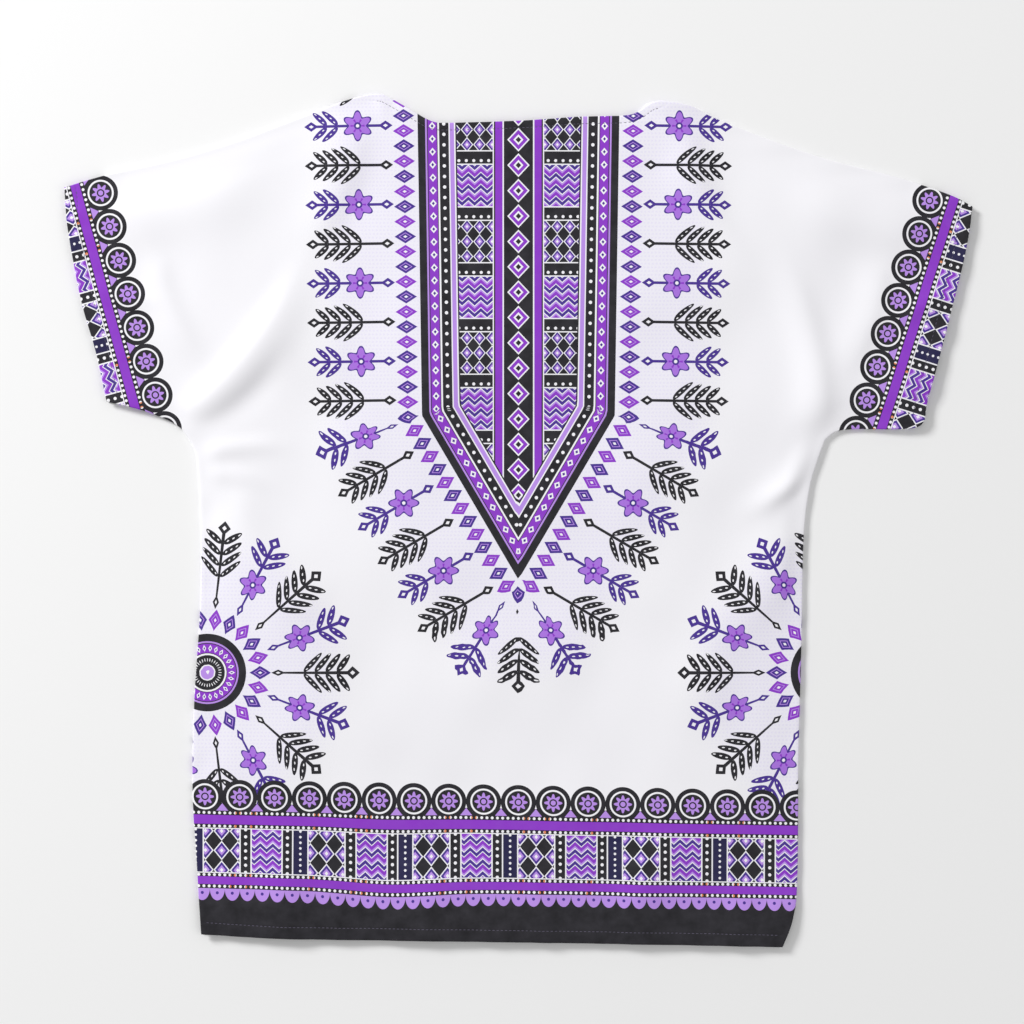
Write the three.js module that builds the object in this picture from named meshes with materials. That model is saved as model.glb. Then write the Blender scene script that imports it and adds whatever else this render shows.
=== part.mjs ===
// A child's dashiki shirt, lying flat on its back panel with the front panel up and the neck away.
//
// The shirt is two T-shaped panels, front and back, each cut in one with its half sleeves and sewn
// together along the shoulders, under the arms and down the sides. The neck, the cuffs and the bottom
// edge are turned to the inside and stitched. The back panel rests on the surface, its turned hems lie on
// it, and the front panel lies over them: low along the sewn edges, higher over the hems, and lifted a
// little everywhere else by the air and the folds in it.
//
// Millimetres. +X runs across the shirt, left to right as it lies, +Y towards the neck and +Z up. The
// origin is below the middle of the shirt, on the surface that it lies on.

import * as THREE from "three";

// Cloth and sewing
const cloth = 1; // the wall that stands for one layer of the cloth
const seamGap = 0.3; // between two layers that touch
const layer = cloth + seamGap;
const neckHem = 6; // the depth of each turned hem
const cuffHem = 9;
const bottomHem = 9;
const hemInset = 1.5; // how far a turned hem stops short of the sewn seam at each end

// How the front panel lies over the back one
const seamHeight = layer; // its underside along a sewn edge
const hemHeight = 3 * layer; // and over the two turned hems
const loft = 2.6; // and where only air holds it up
const seamRoll = 26; // how far in from a sewn edge it has risen to its loft
const hemLevel = 17; // how far in from a hem it stays level, a cell of its grid at least
const hemRoll = 22; // how far in from there it has come down to its loft

// Cells of the front panel's grid
const shoulderCells = 6; // from the neck to the middle of the shoulder
const sleeveCells = 6; // from there to the cuff
const neckCells = 18;
const bodyCells = 2 * shoulderCells + neckCells;
const sideCells = 18; // from the bottom edge to the underarm
const armCells = 12; // from the underarm to the shoulder

// The outline as the shirt lies, anticlockwise from its lower left corner. Each edge ends where the next
// one starts.
const outline = {
  bottom: [
    { x: -187.4, y: -244.6 },
    { x: -128.9, y: -247.4 },
    { x: -10.9, y: -249.1 },
    { x: 107.1, y: -251.1 },
  ],
  rightSide: [
    { x: 156.1, y: -252.2 },
    { x: 162.3, y: -235.2 },
    { x: 164.9, y: -211.5 },
    { x: 165.6, y: -140.8 },
    { x: 167.4, y: -70.0 },
    { x: 168.6, y: -11.0 },
    { x: 172.0, y: 18.5 },
    { x: 177.0, y: 36.2 },
  ],
  rightUnderarm: [
    { x: 181.4, y: 48.0 },
    { x: 187.6, y: 52.6 },
    { x: 198.0, y: 54.2 },
    { x: 232.5, y: 54.6 },
  ],
  rightCuff: [
    { x: 240.2, y: 59.6 },
    { x: 241.6, y: 70.0 },
    { x: 247.0, y: 90.0 },
    { x: 255.3, y: 121.7 },
    { x: 264.6, y: 160.1 },
  ],
  rightShoulder: [
    { x: 268.4, y: 185.5 },
    { x: 254.6, y: 192.5 },
    { x: 225.1, y: 202.6 },
    { x: 183.8, y: 213.2 },
    { x: 149.0, y: 225.0 },
    { x: 115.9, y: 238.0 },
    { x: 101.2, y: 245.1 },
  ],
  neck: [
    { x: 84.0, y: 248.2 },
    { x: 77.4, y: 246.2 },
    { x: 70.4, y: 241.4 },
    { x: 62.4, y: 239.3 },
    { x: 36.3, y: 238.6 },
    { x: 0.9, y: 236.2 },
    { x: -40.4, y: 235.0 },
    { x: -51.4, y: 235.9 },
    { x: -63.0, y: 242.2 },
    { x: -75.8, y: 249.6 },
    { x: -81.2, y: 251.9 },
  ],
  leftShoulder: [
    { x: -87.2, y: 251.9 },
    { x: -102.4, y: 248.0 },
    { x: -133.0, y: 236.8 },
    { x: -166.1, y: 224.4 },
    { x: -203.8, y: 213.2 },
    { x: -241.0, y: 204.9 },
  ],
  leftCuff: [
    { x: -268.3, y: 196.7 },
    { x: -266.2, y: 171.9 },
    { x: -258.6, y: 130.6 },
    { x: -250.2, y: 101.1 },
  ],
  leftUnderarm: [
    { x: -243.4, y: 70.4 },
    { x: -223.9, y: 65.7 },
    { x: -208.0, y: 59.8 },
    { x: -199.7, y: 54.6 },
  ],
  leftSide: [
    { x: -194.2, y: 47.6 },
    { x: -190.0, y: 35.2 },
    { x: -188.0, y: 0.8 },
    { x: -187.9, y: -46.4 },
    { x: -191.6, y: -105.4 },
    { x: -192.7, y: -158.5 },
    { x: -190.4, y: -199.8 },
  ],
};

// The back panel's neck edge, which lies just inside the front's and shows only at the right corner.
const backNeck = [
  { x: 84.0, y: 248.2 },
  { x: 76.0, y: 246.9 },
  { x: 68.0, y: 240.0 },
  { x: 36.3, y: 235.4 },
  { x: 0.9, y: 233.6 },
  { x: -40.4, y: 232.6 },
  { x: -60.0, y: 237.6 },
  { x: -75.8, y: 247.4 },
];

// The largest folds of the front panel: soft ridges, each along a line from its low end to its high end.
const folds = [
  { x: -190, y: 66, toX: -132, toY: 142, width: 13, height: 1.7 }, // left underarm, towards the neck
  { x: -183, y: 40, toX: -146, toY: 46, width: 7, height: 0.9 }, // left underarm, across
  { x: 176, y: 62, toX: 158, toY: 146, width: 14, height: 1.4 }, // right underarm, up the sleeve
  { x: 172, y: 40, toX: 138, toY: 8, width: 8, height: 1.1 }, // right underarm, into the body
  { x: -236, y: 178, toX: -160, toY: 196, width: 16, height: 1.1 }, // left shoulder
  { x: 236, y: 170, toX: 162, toY: 196, width: 16, height: 1.1 }, // right shoulder
  { x: -140, y: -244, toX: -146, toY: -176, width: 15, height: 1.3 }, // left of the bottom edge
  { x: 66, y: -246, toX: 92, toY: -180, width: 15, height: 1.6 }, // right of the bottom edge
];

// The points of each edge, with the first point of the next edge added, so that the edges join up.
const names = Object.keys(outline);
const corners = Object.fromEntries(
  names.map((name, k) => [name, [...outline[name], outline[names[(k + 1) % names.length]][0]]]),
);

// A smooth line through a table's rows, as points evenly spaced along it.
function line(rows, cells) {
  const points = rows.map(({ x, y }) => new THREE.Vector2(x, y));
  return new THREE.SplineCurve(points).getSpacedPoints(cells);
}

const straight = (from, to, cells) => line([from, to], cells);

// A grid stretched between four edges, as rows of points. The bottom and top edges run left to right and
// the left and right edges run upwards.
function patch(bottom, top, left, right) {
  const columns = bottom.length - 1;
  const rows = left.length - 1;
  const blend = (axis, i, j) => {
    const u = i / columns;
    const v = j / rows;
    const across = (1 - u) * left[j][axis] + u * right[j][axis];
    const along = (1 - v) * bottom[i][axis] + v * top[i][axis];
    const low = (1 - u) * bottom[0][axis] + u * bottom[columns][axis];
    const high = (1 - u) * top[0][axis] + u * top[columns][axis];
    return across + along - (1 - v) * low - v * high;
  };
  return left.map((_, j) => bottom.map((_, i) => new THREE.Vector2(blend("x", i, j), blend("y", i, j))));
}

// The distance from a point to the nearest of some lines of points.
function distance(lines, x, y) {
  const point = new THREE.Vector3(x, y, 0);
  const nearest = new THREE.Vector3();
  const segment = new THREE.Line3();
  let least = Infinity;
  for (const points of lines) {
    for (let k = 1; k < points.length; k += 1) {
      segment.start.set(points[k - 1].x, points[k - 1].y, 0);
      segment.end.set(points[k].x, points[k].y, 0);
      segment.closestPointToPoint(point, true, nearest);
      least = Math.min(least, nearest.distanceTo(point));
    }
  }
  return least;
}

// Every edge as evenly spaced points, at the spacing of the grid that it bounds.
const edge = {
  bottom: line(corners.bottom, bodyCells),
  rightSide: line(corners.rightSide, sideCells),
  rightUnderarm: line(corners.rightUnderarm, sleeveCells),
  rightCuff: line(corners.rightCuff, armCells),
  rightShoulder: line(corners.rightShoulder, sleeveCells + shoulderCells),
  neck: line(corners.neck, neckCells),
  leftShoulder: line(corners.leftShoulder, shoulderCells + sleeveCells),
  leftCuff: line(corners.leftCuff, armCells),
  leftUnderarm: line(corners.leftUnderarm, sleeveCells),
  leftSide: line(corners.leftSide, sideCells),
};
const seamLines = [
  edge.rightSide, edge.rightUnderarm, edge.rightShoulder,
  edge.leftShoulder, edge.leftUnderarm, edge.leftSide,
];
const hemLines = [edge.bottom, edge.rightCuff, edge.neck, edge.leftCuff];

// A fold's height at a point: a bell across its line that dies away towards both of its ends.
function foldHeight(fold, x, y) {
  const run = new THREE.Vector2(fold.toX - fold.x, fold.toY - fold.y);
  const offset = new THREE.Vector2(x - fold.x, y - fold.y);
  const along = offset.dot(run) / run.lengthSq();
  const across = offset.cross(run) / run.length();
  const taper = THREE.MathUtils.smoothstep(along, -0.2, 0.15) * (1 - THREE.MathUtils.smoothstep(along, 0.4, 1.2));
  return fold.height * taper * Math.exp(-((across / fold.width) ** 2));
}

// The height of the front panel's underside over the surface that the shirt lies on.
function frontUnderside(x, y) {
  const { lerp, smoothstep } = THREE.MathUtils;
  const inFromSeam = smoothstep(distance(seamLines, x, y), 0, seamRoll);
  const inFromHem = smoothstep(distance(hemLines, x, y), hemLevel, hemLevel + hemRoll);
  const folded = folds.reduce((sum, fold) => sum + foldHeight(fold, x, y), 0);
  const lofted = lerp(seamHeight, loft, inFromSeam);
  return lerp(hemHeight, lofted, inFromHem) + folded * inFromSeam * lerp(0.6, 1, inFromHem);
}

// One layer of cloth over a grid of points, whose rows may have gaps: a closed wall with its underside at
// the height that under(x, y) gives. Seen from above, the columns run left to right and the rows upwards.
function wall(grid, under) {
  const positions = [];
  const index = [];
  const ids = new Map();
  grid.forEach((row, j) => {
    row.forEach((point, i) => {
      if (!point) return;
      ids.set(`${i},${j}`, positions.length / 3);
      const z = under(point.x, point.y);
      positions.push(point.x, point.y, z, point.x, point.y, z + cloth);
    });
  });
  const id = (i, j) => ids.get(`${i},${j}`);
  const isCell = (i, j) => [[i, j], [i + 1, j], [i + 1, j + 1], [i, j + 1]].every(([a, b]) => ids.has(`${a},${b}`));
  const quad = (a, b, c, d) => index.push(a, b, c, a, c, d);
  const side = (a, b) => quad(a, b, b + 1, a + 1); // a point's upper copy is the next one
  grid.forEach((row, j) => {
    row.forEach((_, i) => {
      if (!isCell(i, j)) return;
      const [a, b, c, d] = [id(i, j), id(i + 1, j), id(i + 1, j + 1), id(i, j + 1)];
      quad(a + 1, b + 1, c + 1, d + 1);
      quad(a, d, c, b);
      if (!isCell(i, j - 1)) side(a, b);
      if (!isCell(i + 1, j)) side(b, c);
      if (!isCell(i, j + 1)) side(c, d);
      if (!isCell(i - 1, j)) side(d, a);
    });
  });
  const geometry = new THREE.BufferGeometry();
  geometry.setAttribute("position", new THREE.Float32BufferAttribute(positions, 3));
  geometry.setIndex(index);
  geometry.computeVertexNormals();
  return geometry;
}

// The front panel's grid: the body below the underarms, the body above them and a half sleeve on each
// side of that, which share the points where they meet.
function frontGrid() {
  const upwards = (points) => [...points].reverse();
  const leftOuter = upwards(edge.leftShoulder.slice(shoulderCells)); // cuff to the middle of the shoulder
  const leftInner = upwards(edge.leftShoulder.slice(0, shoulderCells + 1));
  const rightInner = upwards(edge.rightShoulder.slice(sleeveCells));
  const rightOuter = upwards(edge.rightShoulder.slice(0, sleeveCells + 1));
  const top = [...leftInner, ...upwards(edge.neck).slice(1), ...rightInner.slice(1)];
  const waist = straight(edge.leftSide[0], edge.rightUnderarm[0], bodyCells);
  const leftArm = straight(edge.leftSide[0], leftInner[0], armCells);
  const rightArm = straight(edge.rightUnderarm[0], rightOuter[0], armCells);
  const patches = [
    { column: sleeveCells, row: 0, points: patch(edge.bottom, waist, upwards(edge.leftSide), edge.rightSide) },
    { column: sleeveCells, row: sideCells, points: patch(waist, top, leftArm, rightArm) },
    {
      column: 0,
      row: sideCells,
      points: patch(edge.leftUnderarm, leftOuter, upwards(edge.leftCuff), leftArm),
    },
    {
      column: sleeveCells + bodyCells,
      row: sideCells,
      points: patch(edge.rightUnderarm, rightOuter, rightArm, edge.rightCuff),
    },
  ];
  const grid = Array.from({ length: sideCells + armCells + 1 }, () => []);
  for (const { column, row, points } of patches) {
    points.forEach((rowPoints, j) => {
      rowPoints.forEach((point, i) => {
        grid[row + j][column + i] = point;
      });
    });
  }
  return grid;
}

// A turned hem: a strip of one layer along an edge, as deep as the hem, that stops short of the seams.
function hemStrip(rows, cells, depth, under) {
  const curve = new THREE.SplineCurve(rows.map(({ x, y }) => new THREE.Vector2(x, y)));
  const inset = hemInset / curve.getLength();
  const stops = Array.from({ length: cells + 1 }, (_, k) => inset + ((1 - 2 * inset) * k) / cells);
  const outer = stops.map((stop) => curve.getPointAt(stop));
  const inner = stops.map((stop, k) => {
    const heading = curve.getTangentAt(stop);
    return new THREE.Vector2(outer[k].x - depth * heading.y, outer[k].y + depth * heading.x);
  });
  return wall([outer, inner], under);
}

// The back panel lies flat, so it is its outline given the cloth's thickness.
function backPanel() {
  const around = names.flatMap((name) => {
    const points = name === "neck" ? line([...backNeck, outline.leftShoulder[0]], neckCells) : edge[name];
    return points.slice(0, -1);
  });
  return new THREE.ExtrudeGeometry(new THREE.Shape(around), { depth: cloth, bevelEnabled: false });
}

const printed = { color: 0xeae6f0, roughness: 0.75, metalness: 0 };
const black = { color: 0x1d1b20, roughness: 0.7, metalness: 0 };

function piece(name, geometry, finish) {
  const mesh = new THREE.Mesh(geometry, new THREE.MeshStandardMaterial(finish));
  mesh.name = name;
  return mesh;
}

const shirt = new THREE.Group();

shirt.add(piece("back", backPanel(), printed));
shirt.add(piece("front", wall(frontGrid(), frontUnderside), printed));

const onBack = () => layer;
const underFront = (x, y) => frontUnderside(x, y) - layer;
const hems = [
  { name: "bottom_hem", edge: "bottom", cells: bodyCells, depth: bottomHem, finish: black },
  { name: "right_cuff_hem", edge: "rightCuff", cells: armCells, depth: cuffHem, finish: printed },
  { name: "neck_hem", edge: "neck", cells: neckCells, depth: neckHem, finish: printed },
  { name: "left_cuff_hem", edge: "leftCuff", cells: armCells, depth: cuffHem, finish: printed },
];
for (const { name, edge: along, cells, depth, finish } of hems) {
  const backRows = along === "neck" ? [...backNeck, outline.leftShoulder[0]] : corners[along];
  shirt.add(piece(`front_${name}`, hemStrip(corners[along], cells, depth, underFront), finish));
  shirt.add(piece(`back_${name}`, hemStrip(backRows, cells, depth, onBack), finish));
}

export default shirt;
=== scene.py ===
"""A child's dashiki shirt, printed in purple, violet and black on white cotton, laid flat with its front up.

The script follows the shirt as it is made: the cut, the printed cloth, the back panel, the front panel,
their turned edges, the stitches and then the table that it lies on. Lengths are in millimetres until a
mesh is made, and x, y and z are the model's own axes: across the shirt, towards the neck, and up.
"""

import bpy
import numpy as np
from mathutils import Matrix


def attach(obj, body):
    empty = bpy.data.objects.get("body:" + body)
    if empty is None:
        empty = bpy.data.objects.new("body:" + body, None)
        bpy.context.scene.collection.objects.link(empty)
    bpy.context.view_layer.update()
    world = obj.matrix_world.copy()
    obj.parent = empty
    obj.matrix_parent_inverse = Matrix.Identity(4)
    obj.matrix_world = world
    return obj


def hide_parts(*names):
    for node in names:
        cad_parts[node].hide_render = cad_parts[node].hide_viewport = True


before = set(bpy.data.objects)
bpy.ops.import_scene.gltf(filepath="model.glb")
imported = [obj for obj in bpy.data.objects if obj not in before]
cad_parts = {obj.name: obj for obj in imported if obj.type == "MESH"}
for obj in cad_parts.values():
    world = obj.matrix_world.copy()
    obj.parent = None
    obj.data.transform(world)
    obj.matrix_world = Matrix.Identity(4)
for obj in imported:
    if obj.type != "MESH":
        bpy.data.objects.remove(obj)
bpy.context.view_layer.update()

# ---- The cut -------------------------------------------------------------------------------------------
# Both panels are cut to one T-shaped outline, each in one with its half sleeves. The outline is that of
# the shirt as it lies, anticlockwise from its lower left corner, in rows of x and y. Each edge ends where
# the next one starts.

metre = 1000.0
outline = {
    "bottom": [(-187.4, -244.6), (-128.9, -247.4), (-10.9, -249.1), (107.1, -251.1)],
    "right_side": [(156.1, -252.2), (162.3, -235.2), (164.9, -211.5), (165.6, -140.8),
                   (167.4, -70.0), (168.6, -11.0), (172.0, 18.5), (177.0, 36.2)],
    "right_underarm": [(181.4, 48.0), (187.6, 52.6), (198.0, 54.2), (232.5, 54.6)],
    "right_cuff": [(240.2, 59.6), (241.6, 70.0), (247.0, 90.0), (255.3, 121.7), (264.6, 160.1)],
    "right_shoulder": [(268.4, 185.5), (254.6, 192.5), (225.1, 202.6), (183.8, 213.2),
                       (149.0, 225.0), (115.9, 238.0), (101.2, 245.1)],
    "neck": [(84.0, 248.2), (77.4, 246.2), (70.4, 241.4), (62.4, 239.3), (36.3, 238.6), (0.9, 236.2),
             (-40.4, 235.0), (-51.4, 235.9), (-63.0, 242.2), (-75.8, 249.6), (-81.2, 251.9)],
    "left_shoulder": [(-87.2, 251.9), (-102.4, 248.0), (-133.0, 236.8), (-166.1, 224.4),
                      (-203.8, 213.2), (-241.0, 204.9)],
    "left_cuff": [(-268.3, 196.7), (-266.2, 171.9), (-258.6, 130.6), (-250.2, 101.1)],
    "left_underarm": [(-243.4, 70.4), (-223.9, 65.7), (-208.0, 59.8), (-199.7, 54.6)],
    "left_side": [(-194.2, 47.6), (-190.0, 35.2), (-188.0, 0.8), (-187.9, -46.4),
                  (-191.6, -105.4), (-192.7, -158.5), (-190.4, -199.8)],
}
back_neck = [(84.0, 248.2), (76.0, 246.9), (68.0, 240.0), (36.3, 235.4), (0.9, 233.6),
             (-40.4, 232.6), (-60.0, 237.6), (-75.8, 247.4)]

hem_depth = {"bottom": 9.0, "right_cuff": 9.0, "neck": 6.0, "left_cuff": 9.0}
stitch_depth = {"bottom": 7.0, "right_cuff": 7.0, "neck": 4.2, "left_cuff": 7.0}
seam_allowance = 5.0
hem_roll = 0.5  # the radius of the turned edge at a hem, and at a seam
seam_roll = 0.4
edge_names = list(outline)


def joined(edges):
    """Each edge's rows with the first row of the next edge added."""
    return {name: edges[name] + edges[edge_names[(k + 1) % len(edge_names)]][:1]
            for k, name in enumerate(edge_names)}


def smooth_line(rows, stops):
    """Points at some shares of the length of a Catmull-Rom curve: between two rows it is the cubic whose
    slope at each row is half of the step from the row before to the row after."""
    p = np.array(rows, float)
    slope = (np.vstack([p[1:], p[-1:]]) - np.vstack([p[:1], p[:-1]])) / 2
    t = np.linspace(0, 1, 24, endpoint=False)[:, None, None]
    fine = ((2 * t**3 - 3 * t**2 + 1) * p[:-1] + (t**3 - 2 * t**2 + t) * slope[:-1]
            + (3 * t**2 - 2 * t**3) * p[1:] + (t**3 - t**2) * slope[1:])
    fine = np.vstack([fine.transpose(1, 0, 2).reshape(-1, 2), p[-1:]])
    run = np.concatenate([[0], np.cumsum(np.hypot(*np.diff(fine, axis=0).T))])
    at = np.asarray(stops, float) * run[-1]
    return np.column_stack([np.interp(at, run, fine[:, 0]), np.interp(at, run, fine[:, 1])])


def even(cells):
    """Shares of a length, evenly spaced."""
    return np.linspace(0, 1, cells + 1)


def stretched(bottom, top, left, right, across, up):
    """A grid of points stretched between four edges: the sum of the blend of left and right and the blend
    of bottom and top, less the blend of the four corners, which both hold."""
    u = across[None, :, None]
    v = up[:, None, None]
    sides = (1 - u) * left[:, None] + u * right[:, None]
    ends = (1 - v) * bottom[None] + v * top[None]
    low = (1 - u) * bottom[0] + u * bottom[-1]
    high = (1 - u) * top[0] + u * top[-1]
    return sides + ends - (1 - v) * low - v * high


def cut_panel(neck_rows, side_cells, arm_cells, sleeve_cells, shoulder_cells, neck_cells):
    """One panel as it lies: its points, its four-sided faces, and the points along its outline in order,
    with the edge that each belongs to. The body is two stretched grids, below and above the underarms,
    and each half sleeve is another, and they share their points where they meet."""
    rows = joined({**outline, "neck": neck_rows})
    body_cells = 2 * shoulder_cells + neck_cells
    crowded = 1.2  # over 1, the cells are smaller along the bottom edge, the neck and the cuffs
    across = even(body_cells)
    up_side = even(side_cells) ** crowded
    up_arm = 1 - (1 - even(arm_cells)) ** crowded
    to_cuff = 1 - (1 - even(sleeve_cells)) ** crowded
    shoulder_share = shoulder_cells / (shoulder_cells + sleeve_cells)
    inner = even(shoulder_cells) * shoulder_share
    outer = shoulder_share + to_cuff * (1 - shoulder_share)
    left_inner = smooth_line(rows["left_shoulder"], inner)[::-1]
    left_outer = smooth_line(rows["left_shoulder"], outer)[::-1]
    right_inner = smooth_line(rows["right_shoulder"], 1 - inner)
    right_outer = smooth_line(rows["right_shoulder"], 1 - outer)
    neck = smooth_line(rows["neck"], even(neck_cells))[::-1]
    top = np.vstack([left_inner, neck[1:], right_inner[1:]])
    bottom = smooth_line(rows["bottom"], across)
    left_side = smooth_line(rows["left_side"], 1 - up_side)
    right_side = smooth_line(rows["right_side"], up_side)
    left_under, right_under = left_side[-1], right_side[-1]
    waist = left_under + across[:, None] * (right_under - left_under)
    left_arm = left_under + up_arm[:, None] * (top[0] - left_under)
    right_arm = right_under + up_arm[:, None] * (top[-1] - right_under)
    left_cuff = smooth_line(rows["left_cuff"], 1 - up_arm)
    right_cuff = smooth_line(rows["right_cuff"], up_arm)
    left_underarm = smooth_line(rows["left_underarm"], 1 - to_cuff[::-1])
    right_underarm = smooth_line(rows["right_underarm"], to_cuff)

    grid = np.full((side_cells + arm_cells + 1, 2 * sleeve_cells + body_cells + 1, 2), np.nan)
    body = slice(sleeve_cells, sleeve_cells + body_cells + 1)
    grid[:side_cells + 1, body] = stretched(bottom, waist, left_side, right_side, across, up_side)
    grid[side_cells:, body] = stretched(waist, top, left_arm, right_arm, across, up_arm)
    grid[side_cells:, :sleeve_cells + 1] = stretched(
        left_underarm, left_outer, left_cuff, left_arm, 1 - to_cuff[::-1], up_arm)
    grid[side_cells:, sleeve_cells + body_cells:] = stretched(
        right_underarm, right_outer, right_arm, right_cuff, to_cuff, up_arm)

    held = ~np.isnan(grid[..., 0])
    ids = np.where(held, np.cumsum(held).reshape(held.shape) - 1, -1)
    quads = np.stack([ids[:-1, :-1], ids[:-1, 1:], ids[1:, 1:], ids[1:, :-1]], axis=-1).reshape(-1, 4)
    quads = quads[(quads >= 0).all(axis=1)]
    first, last = sleeve_cells, sleeve_cells + body_cells
    around = {
        "bottom": ids[0, first:last + 1],
        "right_side": ids[:side_cells + 1, last],
        "right_underarm": ids[side_cells, last:],
        "right_cuff": ids[side_cells:, -1],
        "right_shoulder": ids[-1, last - shoulder_cells:][::-1],
        "neck": ids[-1, first + shoulder_cells:last - shoulder_cells + 1][::-1],
        "left_shoulder": ids[-1, :first + shoulder_cells + 1][::-1],
        "left_cuff": ids[side_cells:, 0][::-1],
        "left_underarm": ids[side_cells, :first + 1],
        "left_side": ids[:side_cells + 1, first][::-1],
    }
    loop = np.concatenate([line[:-1] for line in around.values()])
    edge_of = np.repeat(list(around), [len(line) - 1 for line in around.values()])
    return grid[held], quads, loop, edge_of


def nearest(points, path):
    """For each point, how far it is from a path of straight steps, how far along the path its nearest place
    is, and its side: 1 to the right of the path's heading and -1 to the left. Each step of the path is
    tried in turn on all of the points, by dropping a perpendicular and holding its foot within the step."""
    distance = np.full(len(points), np.inf)
    along = np.zeros(len(points))
    side = np.ones(len(points))
    run = 0.0
    for start, step in zip(path[:-1], np.diff(path, axis=0)):
        length = np.hypot(*step)
        offset = points - start
        share = np.clip(offset @ step / length**2, 0, 1)
        gap = np.hypot(offset[:, 0] - share * step[0], offset[:, 1] - share * step[1])
        closer = gap < distance
        distance = np.where(closer, gap, distance)
        along = np.where(closer, run + share * length, along)
        side = np.where(closer, np.sign(offset[:, 0] * step[1] - offset[:, 1] * step[0]), side)
        run += length
    return distance, along, side


def round_the_loop(values, reach):
    """Values along a closed line, each made the mean of itself and its neighbours within a reach either
    way."""
    return sum(np.roll(values, k, axis=0) for k in range(-reach, reach + 1)) / (2 * reach + 1)


def turned_in(points, quads, loop, edge_of):
    """A panel with its edges turned to the inside: from the outline the cloth goes round half a circle and
    then back under itself, by the depth of the hem or the seam allowance. Gives where each point lies, its
    drop below the panel, the place in the flat cloth that it comes from, and all of the faces."""
    roll = np.array([hem_roll if name in hem_depth else seam_roll for name in edge_of])
    depth = np.array([hem_depth.get(name, seam_allowance) for name in edge_of])
    roll, depth = (round_the_loop(values, 4)[:, None] for values in (roll, depth))
    outline_points = points[loop]
    heading = round_the_loop(np.roll(outline_points, -1, axis=0) - np.roll(outline_points, 1, axis=0), 3)
    outward = np.column_stack([heading[:, 1], -heading[:, 0]])
    outward /= np.hypot(*outward.T)[:, None]

    turn = np.radians([30, 60, 90, 120, 150, 180])
    back = np.array([0.1, 0.3, 0.6, 1.0])  # shares of the depth
    out = np.hstack([roll * np.sin(turn), -depth * back])
    drop = np.hstack([roll * (1 - np.cos(turn)), 2 * roll + 0 * back])
    cloth_run = np.hstack([roll * turn, np.pi * roll + depth * back])

    lying = points.copy()
    lying[loop] -= outward * roll
    rows = len(turn) + len(back)
    added = lying[loop][None] + outward[None] * out.T[:, :, None]
    flat = lying[loop][None] + outward[None] * cloth_run.T[:, :, None]
    ring = np.vstack([loop[None], len(points) + np.arange(rows * len(loop)).reshape(rows, -1)])
    ahead = np.roll(ring, -1, axis=1)
    turned = np.stack([ring[:-1], ring[1:], ahead[1:], ahead[:-1]], axis=-1).reshape(-1, 4)
    return (np.vstack([lying, added.reshape(-1, 2)]),
            np.concatenate([np.zeros(len(points)), drop.T.ravel()]),
            np.vstack([lying, flat.reshape(-1, 2)]),
            np.vstack([quads, turned]))


# ---- The printed cloth ---------------------------------------------------------------------------------
# Thin plain-woven white cotton, printed before it is cut: a pointed panel below the neck with a row of
# lozenges and a row of fronds and flowers round it, half rosettes at the sides, and a border of scallops,
# stripes and patterned cells along the bottom edge and round the cuffs.

cloth_thickness = 0.35
panel_corners = [(0.0, -35.0), (57.0, 62.0), (61.0, 330.0)]  # the right half of the panel, from its tip
rosette_middle = (184.0, -90.0)
rosette_core = 23.0
lozenge_row = 8.3  # how far outside the panel or the rosette's core the middle of each row runs
frond_row = 41.0
border_top = -156.5
# Where the scallops end at each cuff, from the underarm to the shoulder: -1 is the left cuff, 1 the right.
cuff_borders = {-1: [(-199.5, 57.0), (-239.0, 203.3)], 1: [(190.0, 54.6), (234.5, 196.0)]}


def beside(corners, distance):
    """The line that runs a distance outside a row of corners: straight beside each side, and an arc of that
    radius round each corner, the first of which is where the line meets its mirror image."""
    corners = np.array(corners)
    across = np.diff(corners, axis=0) @ np.array([[0, -1], [1, 0]])
    facing = np.concatenate([[-np.pi / 2], np.arctan2(across[:, 1], across[:, 0])])
    arcs = [corner + distance * np.column_stack([np.cos(turn), np.sin(turn)])
            for corner, turn in zip(corners, np.linspace(facing[:-1], facing[1:], 13).T)]
    return np.vstack([*arcs, corners[-1] + distance * np.array([np.cos(facing[-1]), np.sin(facing[-1])])])


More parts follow.
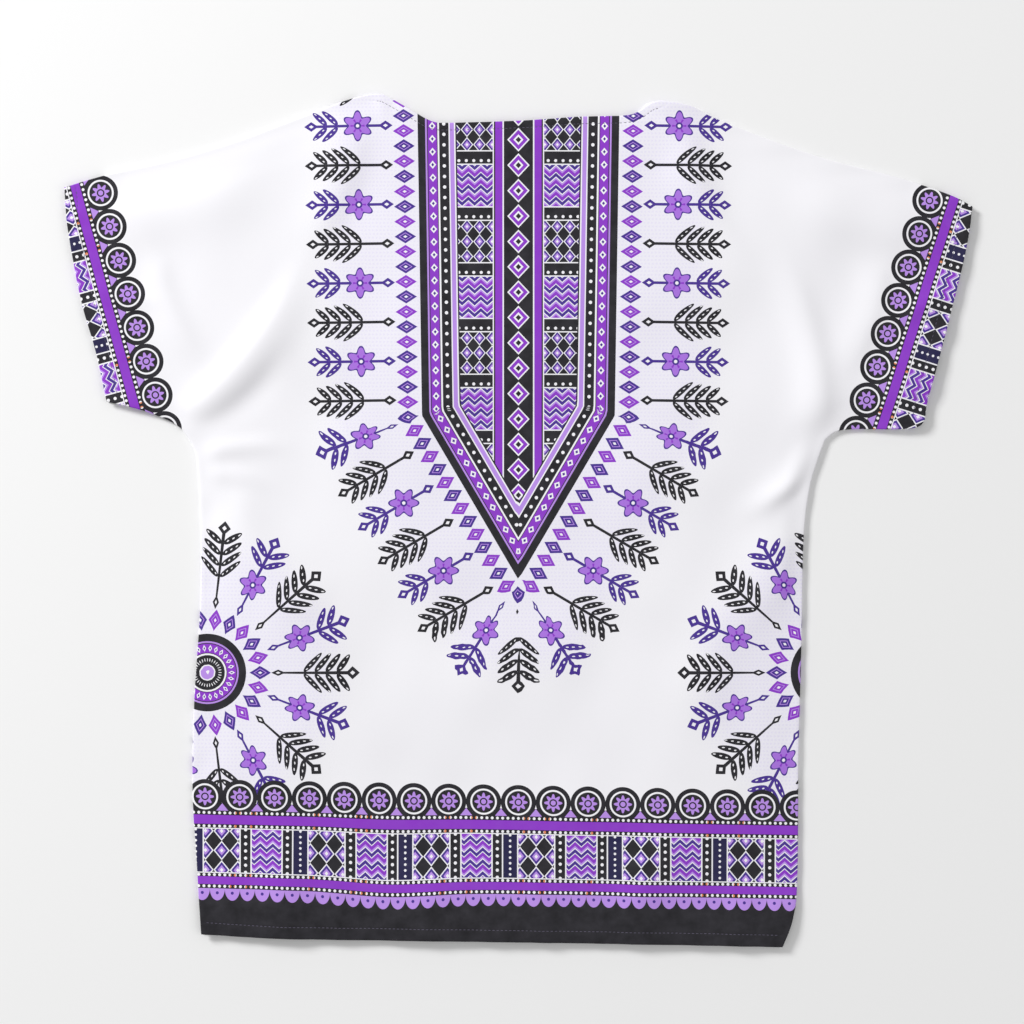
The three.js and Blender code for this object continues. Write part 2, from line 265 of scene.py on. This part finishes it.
def print_places(flat):
    """Where each point of the cloth falls in the print. place is x and y; ring is how far along the row of
    lozenges, how far outside the panel or rosette, and how far along the row of fronds; border is how far
    along the scallops, and how far past them towards the edge; hem is how far in from the stitches, how
    far along the hem, and how far in from the edge."""
    x, y = flat.T
    half = np.column_stack([np.abs(x), y])
    gap, _, side = nearest(half, np.array(panel_corners))
    panel = np.column_stack([
        nearest(half, beside(panel_corners, lozenge_row))[1], gap * side,
        nearest(half, beside(panel_corners, frond_row))[1]])
    reach = half - rosette_middle
    radius = np.hypot(*reach.T)
    turn = np.arctan2(reach[:, 1], -reach[:, 0])
    rosette = np.column_stack([
        turn * (rosette_core + lozenge_row), radius - rosette_core, turn * (rosette_core + frond_row)])
    ring = np.where((rosette[:, 1] < panel[:, 1])[:, None], rosette, panel)

    # The printed border sinks towards one side, and dips where the cloth is slack.
    droop = 0.019 * x + 3.4 * np.exp(-((x + 78) / 34)**2) * np.clip((border_top - y) / 70, 0, 1)
    border = np.column_stack([x, border_top - y - droop, 0 * x])
    for way, (low, high) in cuff_borders.items():
        low, high = np.array(low), np.array(high)
        heading = (high - low) / np.hypot(*(high - low))
        offset = flat - low
        out = way * (offset[:, 0] * heading[1] - offset[:, 1] * heading[0])
        at_cuff = (way * x > 175) & (y > 40)
        border = np.where(at_cuff[:, None], np.column_stack([offset @ heading, out, 0 * x]), border)

    hem = np.full((len(flat), 3), 1e3)
    for name, rows in joined(outline).items():
        if name in hem_depth:
            gap, along, _ = nearest(flat, smooth_line(rows, even(48)))
            found = np.column_stack([gap - stitch_depth[name], along, gap])
            hem = np.where((gap < hem[:, 2])[:, None], found, hem)
    return {"place": np.column_stack([x, y, 0 * x]), "ring": ring, "border": border, "hem": hem}


def ink(red, green, blue):
    """A colour given as it looks, from 0 to 255, as the light that it reflects: each number's share of 255
    raised to the power 2.2."""
    return (*(np.array([red, green, blue]) / 255) ** 2.2, 1.0)


white = ink(245, 244, 248)
haze = ink(231, 226, 247)
lilac = ink(184, 140, 230)
bloom = ink(168, 112, 222)
purple = ink(138, 50, 198)
violet = ink(66, 38, 140)
navy = ink(16, 10, 66)
black = ink(12, 11, 15)
orange = ink(226, 138, 92)


class Varying:
    """A number or colour that varies over the cloth: a socket of the material being made. Arithmetic and
    comparisons on it add Math nodes, and a comparison gives 1 where it holds and 0 elsewhere."""

    def __init__(self, dye, socket):
        self.dye = dye
        self.socket = socket

    def math(self, operation, *others):
        return self.dye.node("Math", {"operation": operation}, dict(enumerate([self, *others])))

    def __add__(self, other):
        return self.math("ADD", other)

    def __sub__(self, other):
        return self.math("SUBTRACT", other)

    def __rsub__(self, other):
        return self.math("MULTIPLY_ADD", -1.0, other)

    def __mul__(self, other):
        return self.math("MULTIPLY", other)

    def __truediv__(self, other):
        return self.math("DIVIDE", other)

    def __abs__(self):
        return self.math("ABSOLUTE")

    def __lt__(self, other):
        return self.math("LESS_THAN", other)

    def __gt__(self, other):
        return self.math("GREATER_THAN", other)

    __radd__ = __add__
    __rmul__ = __mul__


class Dye:
    """A material being made. Its method adds one node: the node's type, its settings, which are set first,
    and the values or links of its sockets. It gives the node's output, where the node has one."""

    def __init__(self, name):
        self.material = bpy.data.materials.new(name)
        self.material.use_nodes = True
        self.tree = self.material.node_tree
        self.tree.nodes.clear()

    def node(self, kind, settings, sockets, output=0):
        made = self.tree.nodes.new("ShaderNode" + kind)
        for key, value in settings.items():
            setattr(made, key, value)
        for key, value in sockets.items():
            if isinstance(value, Varying):
                self.tree.links.new(value.socket, made.inputs[key])
            else:
                made.inputs[key].default_value = value
        return Varying(self, made.outputs[output]) if made.outputs else None


def read(dye, name):
    """The three numbers of one of the cloth's attributes."""
    held = dye.node("Attribute", {"attribute_name": name}, {}, "Vector")
    return [dye.node("SeparateXYZ", {}, {0: held}, k) for k in range(3)]


def least(a, b):
    return a.math("MINIMUM", b)


def most(a, b):
    return a.math("MAXIMUM", b)


def repeat(value, pitch):
    """How far a place is from the middle of its repeat."""
    return value.math("WRAP", pitch / 2, -pitch / 2)


def every_other(value, pitch):
    """1 in every second repeat and 0 in the rest; the first repeat's middle is at 0 and holds 0."""
    return value.math("WRAP", 1.5 * pitch, -0.5 * pitch) > 0.5 * pitch


def zigzag(value, pitch):
    """A line that rises and falls by half of its pitch: 0 at the start of each pitch."""
    return value.math("PINGPONG", pitch / 2)


def between(value, low, high):
    return (value > low) * (value < high)


def round_spot(x, y, radius):
    """1 where x squared and y squared come to less than the radius squared."""
    return x * x + y * y < radius**2


def lozenge(x, y, half_width, half_length):
    """How far out in a lozenge a place is: 0 in the middle and 1 on its edge."""
    return abs(x) * (1 / half_width) + abs(y) * (1 / half_length)


def inked(ground, mask, colour):
    """The ground, with the colour where the mask is 1."""
    mixed = {0: mask, 6: ground, 7: colour}
    return mask.dye.node("Mix", {"data_type": "RGBA"}, mixed, 2)


def chevrons(across, along):
    """Stripes that zigzag: lilac, white, violet, white and purple in turn."""
    step = repeat(along + zigzag(across, 7.4) * 0.9, 7.0)
    ground = inked(lilac, step > -2.3, white)
    ground = inked(ground, step > -1.6, violet)
    ground = inked(ground, step > 0.6, white)
    return inked(ground, step > 1.2, purple)


def lattice(across, along, pitch):
    """Lozenges inside one another on black, touching at their corners."""
    out = lozenge(repeat(across, pitch), repeat(along, pitch * 1.2), pitch / 2, pitch * 0.6)
    ground = inked(black, out < 1.0, white)
    ground = inked(ground, out < 0.82, violet)
    ground = inked(ground, out < 0.5, lilac)
    return inked(ground, out < 0.22, white)


def beads(ground, across, along, pitch, radius):
    """A row of white spots."""
    return inked(ground, round_spot(across, repeat(along, pitch), radius), white)


def print_fronds(cloth, ring_along, out):
    """The outer row: fronds in black with white seeds, and between them flowers on violet fronds."""
    pitch = 23.2
    x = repeat(ring_along, pitch)
    odd = every_other(ring_along, pitch)
    y = out - frond_row
    wide = abs(x)
    colour = inked(black, odd, violet)
    rise = y - wide * 0.62 - wide * wide * 0.035
    leaf_x = wide * 2 / (9.6 - rise * 0.14) - 1.12
    leaf_y = repeat(rise, 6.6)
    leaf = (leaf_x * leaf_x + leaf_y * leaf_y * (1 / 2.45**2) < 1) * (rise < 16.6) * (rise > odd * 13.2 - 9.9)
    stem = (wide < 0.8) * (abs(y) < 21)
    bud = lozenge(wide, abs(y) - 22.0, 2.9, 4.2)
    cloth = inked(cloth, most(most(leaf, stem), bud < 1), colour)
    seeds = round_spot(repeat(wide, 2.4), leaf_y, 0.5) * leaf
    cloth = inked(cloth, most(seeds, bud < 0.35), white)
    up = y + 5.5
    radius = (x * x + up * up).math("SQRT")
    petals = up.math("ARCTAN2", x) * 6
    petals = petals.math("COSINE")
    rim = radius - petals * 1.7 - 7.0
    cloth = inked(cloth, (rim < 0.6) * odd, violet)
    cloth = inked(cloth, (rim < -0.4) * odd, bloom)
    cloth = inked(cloth, (radius < 4.2) * (petals < -0.6) * odd, purple)
    cloth = inked(cloth, (radius < 2.1) * odd, violet)
    return inked(cloth, (radius < 1.0) * odd, white)


# The bands inside the edge of the panel and the rosettes: from, to, and colour, over black.
edge_bands = [(-5.4, -4.4, lilac), (-11.2, -5.9, purple), (-12.6, -11.6, white),
              (-22.2, -18.2, white), (-21.4, -18.9, lilac)]


def print_rings(cloth, place_x, place_y, ring):
    """All that is printed round the panel and the rosettes, and the bands along their own edges."""
    lozenge_along, out, frond_along = ring
    stipple = round_spot(repeat(place_x + zigzag(place_y, 4.4), 2.2), repeat(place_y, 2.2), 0.62)
    haze_reach = frond_row + 24
    fade = least((haze_reach - out) / 20, 1.0) * (out < haze_reach)
    cloth = inked(cloth, most(stipple * 0.8, fade * 0.35) * fade, haze)
    cloth = print_fronds(cloth, frond_along, out)

    pitch = 8.9
    x = repeat(lozenge_along, pitch)
    bud = lozenge(x, out - lozenge_row, 4.0, 6.4)
    cloth = inked(cloth, bud < 1, inked(violet, every_other(lozenge_along, pitch), purple))
    cloth = inked(cloth, (bud < 0.62) * (bud > 0.5), lilac)
    cloth = inked(cloth, bud < 0.2, white)

    cloth = inked(cloth, out < 0, black)
    for inner, outer, colour in edge_bands:
        cloth = inked(cloth, between(out, inner, outer), colour)
    small = lozenge(repeat(lozenge_along, 7.6), out + 8.55, 2.4, 2.0)
    cloth = inked(cloth, small < 1, white)
    cloth = inked(cloth, small < 0.45, violet)
    return beads(cloth, out + 15.4, lozenge_along, 6.2, 1.0)


def print_field(x, y):
    """The middle of the panel: a column of lozenges between purple stripes, and to each side of it cells of
    chevrons and of lattice with beaded bars between them."""
    wide = abs(x)
    row = repeat(y, 33.0)
    odd = every_other(y, 33.0)
    cells = inked(chevrons(wide, row), odd, lattice(wide - 15.6, row, 7.4))
    cells = inked(cells, abs(row) > 12.2, white)
    cells = inked(cells, abs(row) > 12.9, black)
    cells = beads(cells, repeat(row - 14.7, 33.0), wide, 4.4, 0.9)
    for half_width, colour in ((15.2, white), (14.5, black), (13.7, purple), (9.4, white), (8.6, black)):
        cells = inked(cells, wide < half_width, colour)
    out = lozenge(wide, repeat(y, 15.0), 6.6, 7.0)
    for size, colour in ((1.0, white), (0.84, purple), (0.45, white), (0.25, black)):
        cells = inked(cells, out < size, colour)
    return cells


# The bars between the border's cells: from, to, colour, and the pitch and radius of their beads.
beaded_bars = [(0.0, 8.2, navy, 3.3, 0.75), (30.8, 36.6, black, 4.2, 0.95), (55.8, 61.2, black, 4.2, 0.95)]


def print_border(cloth, along, into):
    """The border, from its scallops towards the edge: rosettes in black scallops, beads, a purple stripe,
    beads, a row of cells with beaded bars between them, beads, a narrower stripe, beads, and a row of small
    lilac scallops on black."""
    pitch = 20.6
    x = repeat(along, pitch)
    y = into - 10.2
    squared = x * x + y * y * 1.04
    radius = squared.math("SQRT")
    petals = y.math("ARCTAN2", x) * 8
    petals = petals.math("COSINE")
    scallop = most(radius < 10.4, into > 14)
    cloth = inked(cloth, scallop, black)
    cloth = inked(cloth, abs(radius - 7.3) < 0.55, white)
    cloth = inked(cloth, radius - petals * 1.1 < 4.3, lilac)
    cloth = inked(cloth, abs(radius - 1.9) < 0.4, black)
    notch = repeat(along + pitch / 2, pitch)
    cloth = inked(cloth, lozenge(notch, into - 18.4, 3.6, 4.4) < 1, lilac)
    cloth = inked(cloth, into > 18.4, black)

    cloth = inked(cloth, between(into, 21.0, 26.4), purple)
    cloth = inked(cloth, between(into, 28.6, 55.4), white)
    at = (along + 9).math("WRAP", 62.0, 0)
    cells = inked(white, between(at, 9.0, 30.0), lattice(at - 19.5, into - 42.0, 9.6))
    cells = inked(cells, between(at, 37.4, 55.0), chevrons(at - 46.2, into))
    for start, end, colour, bead_pitch, bead_radius in beaded_bars:
        cells = inked(cells, between(at, start, end), colour)
        cells = beads(cells, at - (start + end) / 2, into, bead_pitch, bead_radius)
    cloth = inked(cloth, between(into, 29.2, 54.8), cells)
    cloth = inked(cloth, between(into, 57.4, 62.0), purple)

    dots = repeat(along, 3.1)
    line = least(least(abs(into - 19.7), abs(into - 27.6)), least(abs(into - 56.4), abs(into - 63.1)))
    spotted = round_spot(dots, line, 0.85)
    speckle = along.dye.node("TexWhiteNoise", {"noise_dimensions": "1D"},
                             {"W": (along / 3.1 + into / 40).math("ROUND")})
    cloth = inked(cloth, spotted, white)
    cloth = inked(cloth, spotted * (speckle > 0.86), orange)

    step = repeat(along, 8.9)
    drop = into - 64.4
    tooth = step * step * (1 / 4.45**2) + drop * drop * (1 / 7.0**2) < 1
    cloth = inked(cloth, tooth * (into > 64.4), lilac)
    return inked(cloth, round_spot(step, drop - 2.6, 0.9), violet)


stitch_pitch = 2.4


def printed_cloth(name, strength):
    """The cloth's finish. Its colour is the print, mixed towards the white ground where the ink shows
    through from the other side. Its bump is the unevenness of the yarn, and the dimples along the stitches."""
    dye = Dye(name)
    place_x, place_y, _ = read(dye, "place")
    ring = read(dye, "ring")
    along, into, _ = read(dye, "border")
    to_stitch, hem_along, _ = read(dye, "hem")

    cloth = print_rings(white, place_x, place_y, ring)
    field = (ring[1] < -23.0) * (abs(place_x) < 80)
    cloth = inked(cloth, field, print_field(place_x, place_y))
    cloth = inked(cloth, into > 0, print_border(cloth, along, into))

    place = dye.node("Attribute", {"attribute_name": "place"}, {}, "Vector")
    patchy = dye.node("TexNoise", {}, {"Vector": place, "Scale": 0.11, "Detail": 3.0, "Roughness": 0.6})
    cloth = inked(cloth, patchy * 0.05, haze)
    if strength < 1:
        cloth = dye.node("Mix", {"data_type": "RGBA"}, {0: 1 - strength, 6: cloth, 7: white}, 2)

    slubs = dye.node("TexNoise", {}, {"Vector": place, "Scale": 0.9, "Detail": 4.0, "Roughness": 0.7})
    groove = least(abs(to_stitch), 1.0)
    dimple = (hem_along * (2 * np.pi / stitch_pitch)).math("COSINE")
    height = slubs * 0.07 + groove * 0.16 + (1 - groove) * dimple * 0.05
    bump = dye.node("Bump", {}, {"Strength": 0.6, "Distance": 1 / metre, "Height": height})
    shader = dye.node("BsdfPrincipled", {}, {
        "Base Color": cloth, "Roughness": 0.68, "Normal": bump,
        "Sheen Weight": 0.03, "Sheen Roughness": 0.4, "Specular IOR Level": 0.25})
    dye.node("OutputMaterial", {}, {"Surface": shader})
    return dye.material


outside = printed_cloth("printed_cotton", 1.0)
inside = printed_cloth("printed_cotton_inside", 0.45)


def cloth_piece(name, points, quads, flat):
    """A piece of the cloth: a surface through its points, which the Solidify modifier gives a thickness,
    half to each side, with the inside of the cloth on its lower face."""
    mesh = bpy.data.meshes.new(name)
    mesh.from_pydata(points / metre, [], quads.tolist())
    for key, values in print_places(flat).items():
        attribute = mesh.attributes.new(key, "FLOAT_VECTOR", "POINT")
        attribute.data.foreach_set("vector", values.astype(np.float32).ravel())
    mesh.polygons.foreach_set("use_smooth", np.ones(len(quads), bool))
    mesh.materials.append(outside)
    mesh.materials.append(inside)
    piece = bpy.data.objects.new(name, mesh)
    bpy.context.scene.collection.objects.link(piece)
    wall = piece.modifiers.new("thickness", "SOLIDIFY")
    wall.thickness = cloth_thickness / metre
    wall.offset = 0
    wall.material_offset = 1
    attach(piece, "root")
    return piece


# ---- The back panel ------------------------------------------------------------------------------------
# The back is cut like the front, with its neck edge a little lower. It lies printed side down, flat on the
# surface, with its hems and seam allowances turned up onto it.

back_cells = dict(side_cells=60, arm_cells=40, sleeve_cells=18, shoulder_cells=18, neck_cells=40)
back_height = 0.2
lying, drop, flat, quads = turned_in(*cut_panel(back_neck, **back_cells))
back_points = np.column_stack([lying, back_height + drop])
back_quads = quads[:, ::-1]
back = cloth_piece("back_panel", back_points, back_quads, flat)
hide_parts("back", "back_neck_hem", "back_left_cuff_hem", "back_right_cuff_hem", "back_bottom_hem")

# ---- The front panel -----------------------------------------------------------------------------------
# The front lies over the back: down at the seams, held up by the hems along its open edges, and lifted by
# air and by soft folds in between. Its edges are turned under, and pucker where they are stitched.

front_cells = dict(side_cells=122, arm_cells=80, sleeve_cells=36, shoulder_cells=36, neck_cells=78)
seam_height = 2.6  # its height along a seam, over its hems and where only air holds it up
hem_height = 4.2
loft_height = 3.4
seam_rise = 26  # how far in from a seam the cloth takes to rise
hem_level = 12  # how far in from a hem it stays level, and where it has come down
hem_fall = 40
pucker_height = 0.17
ruck_height = 0.12  # of the small wrinkles along a seam

# The folds are ridges, or troughs where the height is below 0. The columns are from x and y, to x and y,
# half width on the fold's left and right, height, and bow to the side.
folds = np.array([
    (-190, 66, -128, 148, 9, 16, 3.8, 6),      # left underarm, up towards the neck
    (-186, 56, -140, 96, 7, 9, -1.7, 4),       # the trough beside it
    (-184, 40, -140, 44, 5, 6, 1.4, -2),       # left underarm, across
    (-186, 28, -150, 22, 5, 6, 1.2, -2),
    (178, 62, 158, 150, 12, 9, 2.9, 5),        # right underarm, up the sleeve
    (174, 40, 134, 4, 7, 8, 2.3, -4),          # right underarm, into the body
    (170, 26, 146, 10, 4, 5, 1.2, 0),
    (-236, 178, -156, 198, 14, 18, 2.3, 4),    # along the left shoulder
    (236, 168, 158, 198, 14, 18, 2.3, -4),     # along the right shoulder
    (-140, -246, -146, -176, 13, 15, 2.2, 3),  # up from the bottom edge
    (66, -248, 92, -180, 12, 16, 2.9, -4),
    (-60, -248, -48, -200, 14, 12, 1.4, 2),
    (130, -250, 134, -214, 9, 9, 1.3, 0),
    (-168, 10, -118, -62, 15, 20, 2.5, 8),     # slack across the body, below each underarm
    (-128, -40, -96, -120, 20, 26, 2.0, 6),
    (164, -2, 118, -70, 14, 20, 2.2, -8),
    (120, -60, 84, -128, 26, 30, 1.7, -8),
    (-214, 150, -186, 92, 8, 12, 1.9, 4),      # across the sleeves
    (214, 146, 192, 88, 8, 12, 1.9, -4),
    (-252, 140, -214, 128, 5, 7, 1.2, 2),
    (250, 132, 212, 118, 5, 7, 1.3, -2),
    (-96, 224, -128, 160, 10, 14, 1.7, -4),    # down from the corners of the neck
    (98, 222, 132, 156, 10, 14, 1.9, 5),
    (-104, -250, -118, -206, 7, 8, 1.3, 2),    # short ripples up from the bottom edge
    (18, -250, 10, -214, 8, 9, 1.2, -2),
    (156, -248, 150, -222, 6, 7, 1.0, 0),
], float)


def fold_heights(points, rows):
    """The sum of the folds: each is a bell across its bowed line, e to the power of minus the squared share
    of its width, with a width of its own on either side, and it dies away towards both ends."""
    x, y = points.T
    height = np.zeros(len(points))
    for from_x, from_y, to_x, to_y, left, right, high, bow in rows:
        run = np.array([to_x - from_x, to_y - from_y])
        length = np.hypot(*run)
        share = ((x - from_x) * run[0] + (y - from_y) * run[1]) / length**2
        held = np.clip(share, 0, 1)
        across = ((x - from_x) * run[1] - (y - from_y) * run[0]) / length - 4 * bow * held * (1 - held)
        width = np.where(across < 0, left, right)
        fade = 1 / (1 + np.exp(-(share + 0.02) * 14)) / (1 + np.exp((share - 0.85) * 9))
        height += high * fade * np.exp(-(across / width)**2)
    return height


def unevenness(points, waves, shortest, longest, seed):
    """Small waves in all directions added together, from -1 to 1 or so, with a fixed seed."""
    dice = np.random.default_rng(seed)
    length = shortest * (longest / shortest) ** dice.random(waves)
    turn = dice.random(waves) * 2 * np.pi
    heading = np.stack([np.cos(turn), np.sin(turn)]) * 2 * np.pi / length
    shift = dice.random(waves) * 2 * np.pi
    return (np.sin(points @ heading + shift) * length / longest).sum(axis=1) / np.sqrt(waves / 2)


def eased(value, low, high):
    """0 below low, 1 above high, and a smooth step between."""
    share = np.clip((value - low) / (high - low), 0, 1)
    return share * share * (3 - 2 * share)


def front_height(points):
    """The height of the front panel's cloth over the surface that the shirt lies on: how it rests between
    its seams and hems, plus the folds, soft waves, slanting puckers along the hems, each the sum of two
    sines, and small wrinkles along the seams, a sine that dies away."""
    to_seam = np.full(len(points), np.inf)
    to_hem = np.full(len(points), np.inf)
    hem_along = np.zeros(len(points))
    for name, rows in joined(outline).items():
        gap, along, _ = nearest(points, smooth_line(rows, even(40)))
        if name in hem_depth:
            hem_along = np.where(gap < to_hem, along, hem_along)
            to_hem = np.minimum(to_hem, gap)
        else:
            to_seam = np.minimum(to_seam, gap)
    from_seam = eased(to_seam, 0, seam_rise)
    from_hem = eased(to_hem, hem_level, hem_fall)
    resting = hem_height + (seam_height + (loft_height - seam_height) * from_seam - hem_height) * from_hem
    folded = fold_heights(points, folds) * eased(to_seam, -2, 14)
    soft = unevenness(points, 26, 38, 150, 5) * 0.7 * eased(to_seam, 0, 20)
    wave = hem_along + to_hem * 0.55
    pucker = (np.sin(wave / 2.9 + 1.6 * np.sin(hem_along / 31)) + 0.8 * np.sin(wave / 4.7 + 2))
    pucker *= pucker_height * np.exp(-(np.maximum(to_hem - 3, 0) / 9)**2)
    ruck = ruck_height * np.sin((points[:, 1] - points[:, 0] * 0.3) / 3.4) * np.exp(-((to_seam - 3) / 7)**2)
    return resting + folded + soft + pucker + ruck


lying, drop, flat, quads = turned_in(*cut_panel(outline["neck"], **front_cells))
front_points = np.column_stack([lying, front_height(lying) - drop])
front = cloth_piece("front_panel", front_points, quads, flat)
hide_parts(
    "front", "front_neck_hem", "front_left_cuff_hem", "front_right_cuff_hem", "front_bottom_hem")

# ---- The stitches --------------------------------------------------------------------------------------
# Lockstitches in polyester thread that hold the hems of the bottom edge, the cuffs and the neck. Each shows
# as a short raised bar that dips into the cloth at both ends.

thread_radius = 0.17
thread_sides = 6
bar_share = 0.75  # of the pitch, the rest being the gap between two bars
sink = 0.1  # how far the thread is drawn down into the cloth


def stitch_row(rows, depth):
    """Bars one after another along a line that runs some depth inside an edge. Each is a tube whose radius
    follows a half circle along it, so that it narrows at both ends, where it goes into the cloth. The line
    has four points to a stitch, and a bar spans three of its steps."""
    length = np.hypot(*np.diff(smooth_line(rows, even(60)), axis=0).T).sum()
    count = int((length - 6) / stitch_pitch)
    edge = smooth_line(rows, even(count * 4))
    heading = np.gradient(edge, axis=0)
    inward = np.column_stack([-heading[:, 1], heading[:, 0]]) / np.hypot(*heading.T)[:, None]
    line = edge + inward * depth
    steps = np.linspace(0, 4 * bar_share, 5)
    starts = np.arange(4, len(line) - 6, 4)
    at = starts[:, None] + steps[None]
    middle = np.stack([np.interp(at, np.arange(len(line)), line[:, k]) for k in (0, 1)], axis=-1)
    across = np.stack([np.interp(at, np.arange(len(line)), inward[:, k]) for k in (0, 1)], axis=-1)
    fullness = np.sqrt(1 - (2 * even(4) - 1)**2 * 0.96)
    turn = np.arange(thread_sides) * 2 * np.pi / thread_sides
    height = front_height(middle.reshape(-1, 2)).reshape(at.shape) + cloth_thickness / 2
    side = thread_radius * fullness[None, :, None] * np.cos(turn)
    plan = middle[:, :, None] + across[:, :, None] * side[..., None]
    rise = height[..., None] + thread_radius * fullness[None, :, None] * (np.sin(turn) + 0.7) - sink
    corners = np.concatenate([plan, rise[..., None]], axis=-1)
    ids = np.arange(corners[..., 0].size).reshape(corners.shape[:3])
    ahead = np.roll(ids, -1, axis=2)
    sides = np.stack([ids[:, :-1], ahead[:, :-1], ahead[:, 1:], ids[:, 1:]], axis=-1).reshape(-1, 4)
    ends = [ids[:, 0, ::-1], ids[:, -1]]
    return corners.reshape(-1, 3), sides.tolist() + np.vstack(ends).tolist()


thread = Dye("sewing_thread")
thread_place = thread.node("TexCoord", {}, {}, "Object")
twist = thread.node("TexNoise", {}, {"Vector": thread_place, "Scale": 900.0})
thread_shader = thread.node("BsdfPrincipled", {}, {
    "Base Color": inked(ink(112, 106, 126), twist, ink(76, 71, 88)),
    "Roughness": 0.5, "Specular IOR Level": 0.5})
thread.node("OutputMaterial", {}, {"Surface": thread_shader})
for name, depth in stitch_depth.items():
    points, faces = stitch_row(joined(outline)[name], depth)
    mesh = bpy.data.meshes.new(name + "_stitches")
    mesh.from_pydata(points / metre, [], faces)
    mesh.materials.append(thread.material)
    stitches = bpy.data.objects.new(name + "_stitches", mesh)
    bpy.context.scene.collection.objects.link(stitches)
    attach(stitches, "root")

# ---- The table and the light -------------------------------------------------------------------------
# A plain white table far wider than the shirt, under a large soft light to the upper left and a paler one
# to the right.

floor_mesh = bpy.data.meshes.new("floor")
floor_mesh.from_pydata([(-6, -6, 0), (6, -6, 0), (6, 6, 0), (-6, 6, 0)], [], [(0, 1, 2, 3)])
floor = bpy.data.objects.new("floor", floor_mesh)
bpy.context.scene.collection.objects.link(floor)
table = Dye("white_table")
table_shader = table.node("BsdfPrincipled", {}, {
    "Base Color": (0.9, 0.9, 0.9, 1), "Roughness": 0.9, "Specular IOR Level": 0.1})
table.node("OutputMaterial", {}, {"Surface": table_shader})
floor_mesh.materials.append(table.material)


def soft_light(name, place, size, watts):
    """A square light that faces the middle of the shirt."""
    data = bpy.data.lights.new(name, "AREA")
    data.size = size
    data.energy = watts
    light = bpy.data.objects.new(name, data)
    light.location = place
    light.rotation_euler = (-light.location).to_track_quat("-Z", "Y").to_euler()
    bpy.context.scene.collection.objects.link(light)


soft_light("window", (-2.1, 1.6, 1.5), 0.8, 80)
soft_light("far_wall", (1.6, -0.6, 1.8), 1.6, 9)
world = bpy.data.worlds.new("room")
world.use_nodes = True
world.node_tree.nodes["Background"].inputs["Color"].default_value = (1, 1, 1, 1)
world.node_tree.nodes["Background"].inputs["Strength"].default_value = 0.44
bpy.context.scene.world = world
bpy.context.scene.view_settings.view_transform = "Standard"

# ---- The camera ----------------------------------------------------------------------------------------
# Straight above the shirt, with a long lens, so that the frame takes in a little more than the shirt.

frame_width = 0.607
camera_data = bpy.data.cameras.new("camera")
camera_data.lens = 85
camera = bpy.data.objects.new("camera", camera_data)
camera.location = (-0.0038, 0.005, frame_width * camera_data.lens / camera_data.sensor_width)
bpy.context.scene.collection.objects.link(camera)
bpy.context.scene.camera = camera
